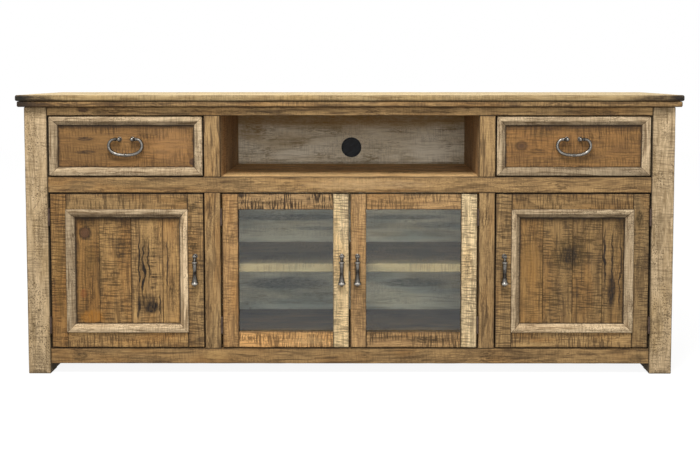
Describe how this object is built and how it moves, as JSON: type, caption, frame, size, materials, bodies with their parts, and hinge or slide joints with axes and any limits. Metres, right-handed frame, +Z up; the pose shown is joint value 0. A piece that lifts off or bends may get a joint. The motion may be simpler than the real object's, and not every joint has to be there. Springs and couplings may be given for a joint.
{
  "type": "tv stand",
  "caption": "Rustic plank TV stand with drawers over panelled doors and an open niche over glazed doors",
  "frame": {"origin": "on the floor under the middle of the top, half way along its width and its depth", "axes": "+Z up, +X to the right as seen from the front, +Y to the back; the doors face -Y"},
  "size_m": [1.93, 0.508, 0.82],
  "materials": {
    "aged_tan_pine": "rough-sawn pine, dry tan stain, worn edges",
    "grey_post_pine": "rough-sawn pine, pale grey-tan, dry and speckled",
    "honey_pine": "rough-sawn pine, honey-brown stain with saw marks",
    "brown_pine": "rough-sawn pine, mid brown stain with dark cross marks",
    "dry_brushed_moulding": "moulded pine, pale dry-brushed glaze, dark mitres",
    "plain_inner_pine": "planed pine, clear finish",
    "grey_washed_ply": "boards with a grey-white wash",
    "clear_glass": "clear float glass",
    "pewter": "cast metal, dark pewter with rubbed highlights",
    "dark_hinge_iron": "steel, oil-rubbed dark brown",
    "zinc_steel": "zinc-plated steel",
    "black_plastic": "moulded black plastic"
  },
  "bodies": {
    "cabinet": {"top_planks": "aged_tan_pine", "sub_top": "aged_tan_pine", "front_posts": "grey_post_pine", "rear_posts": "grey_post_pine", "side_rails": "honey_pine", "side_panels": "aged_tan_pine", "front_rails": "honey_pine", "front_stiles": "honey_pine", "rear_rail": "brown_pine", "partitions": "brown_pine", "mid_deck": "brown_pine", "bottom_deck": "brown_pine", "back_panels": "grey_washed_ply", "back_panel_screws": "zinc_steel", "grommet_ring": "black_plastic", "shelves": "plain_inner_pine", "shelf_pins": "zinc_steel", "drawer_runners": "plain_inner_pine", "slide_channels": "zinc_steel", "hinge_frame_leaves": "dark_hinge_iron", "catch_blocks": "plain_inner_pine", "magnet_catches": "zinc_steel"},
    "grommet_cap": {"grommet_cap": "black_plastic"},
    "left_panel_door": {"left_panel_door_frame": "brown_pine", "left_panel_door_planks": "honey_pine", "left_panel_door_moulding": "dry_brushed_moulding", "left_panel_door_hinge_leaves": "dark_hinge_iron", "left_panel_door_pull_mount": "pewter"},
    "left_panel_door_pull": {"left_panel_door_pull": "pewter"},
    "left_glass_door": {"left_glass_door_frame": "honey_pine", "left_glass_door_pane": "clear_glass", "left_glass_door_beads": "honey_pine", "left_glass_door_hinge_leaves": "dark_hinge_iron", "left_glass_door_pull_mount": "pewter"},
    "left_glass_door_pull": {"left_glass_door_pull": "pewter"},
    "left_drawer": {"left_drawer_front": "honey_pine", "left_drawer_moulding": "dry_brushed_moulding", "left_drawer_box": "plain_inner_pine", "left_drawer_slides": "zinc_steel", "left_drawer_bail_posts": "pewter"},
    "left_drawer_bail": {"left_drawer_bail": "pewter"},
    "right_panel_door": {"right_panel_door_frame": "brown_pine", "right_panel_door_planks": "honey_pine", "right_panel_door_moulding": "dry_brushed_moulding", "right_panel_door_hinge_leaves": "dark_hinge_iron", "right_panel_door_pull_mount": "pewter"},
    "right_panel_door_pull": {"right_panel_door_pull": "pewter"},
    "right_glass_door": {"right_glass_door_frame": "honey_pine", "right_glass_door_pane": "clear_glass", "right_glass_door_beads": "honey_pine", "right_glass_door_hinge_leaves": "dark_hinge_iron", "right_glass_door_pull_mount": "pewter"},
    "right_glass_door_pull": {"right_glass_door_pull": "pewter"},
    "right_drawer": {"right_drawer_front": "honey_pine", "right_drawer_moulding": "dry_brushed_moulding", "right_drawer_box": "plain_inner_pine", "right_drawer_slides": "zinc_steel", "right_drawer_bail_posts": "pewter"},
    "right_drawer_bail": {"right_drawer_bail": "pewter"}
  },
  "joints": [
    {"name": "grommet_cap_pull", "type": "slide", "parent": "cabinet", "child": "grommet_cap", "axis": [0, -1, 0], "range_m": [0, 0.04]},
    {"name": "left_panel_door_hinge", "type": "hinge", "parent": "cabinet", "child": "left_panel_door", "pos_m": [-0.8765, -0.236, 0.305], "axis": [0, 0, -1], "range_deg": [0, 110]},
    {"name": "left_panel_door_pull_swing", "type": "hinge", "parent": "left_panel_door", "child": "left_panel_door_pull", "pos_m": [-0.452, -0.243, 0.3485], "axis": [-1, 0, 0], "range_deg": [0, 85]},
    {"name": "left_glass_door_hinge", "type": "hinge", "parent": "cabinet", "child": "left_glass_door", "pos_m": [-0.3745, -0.236, 0.305], "axis": [0, 0, -1], "range_deg": [0, 110]},
    {"name": "left_glass_door_pull_swing", "type": "hinge", "parent": "left_glass_door", "child": "left_glass_door_pull", "pos_m": [-0.023, -0.243, 0.3485], "axis": [-1, 0, 0], "range_deg": [0, 85]},
    {"name": "left_drawer_slide", "type": "slide", "parent": "cabinet", "child": "left_drawer", "axis": [0, -1, 0], "range_m": [0, 0.3]},
    {"name": "left_drawer_bail_swing", "type": "hinge", "parent": "left_drawer", "child": "left_drawer_bail", "pos_m": [-0.6515, -0.233, 0.691], "axis": [-1, 0, 0], "range_deg": [0, 95]},
    {"name": "right_panel_door_hinge", "type": "hinge", "parent": "cabinet", "child": "right_panel_door", "pos_m": [0.8765, -0.236, 0.305], "axis": [0, 0, 1], "range_deg": [0, 110]},
    {"name": "right_panel_door_pull_swing", "type": "hinge", "parent": "right_panel_door", "child": "right_panel_door_pull", "pos_m": [0.452, -0.243, 0.3485], "axis": [-1, 0, 0], "range_deg": [0, 85]},
    {"name": "right_glass_door_hinge", "type": "hinge", "parent": "cabinet", "child": "right_glass_door", "pos_m": [0.3745, -0.236, 0.305], "axis": [0, 0, 1], "range_deg": [0, 110]},
    {"name": "right_glass_door_pull_swing", "type": "hinge", "parent": "right_glass_door", "child": "right_glass_door_pull", "pos_m": [0.023, -0.243, 0.3485], "axis": [-1, 0, 0], "range_deg": [0, 85]},
    {"name": "right_drawer_slide", "type": "slide", "parent": "cabinet", "child": "right_drawer", "axis": [0, -1, 0], "range_m": [0, 0.3]},
    {"name": "right_drawer_bail_swing", "type": "hinge", "parent": "right_drawer", "child": "right_drawer_bail", "pos_m": [0.6515, -0.233, 0.691], "axis": [-1, 0, 0], "range_deg": [0, 95]}
  ]
}
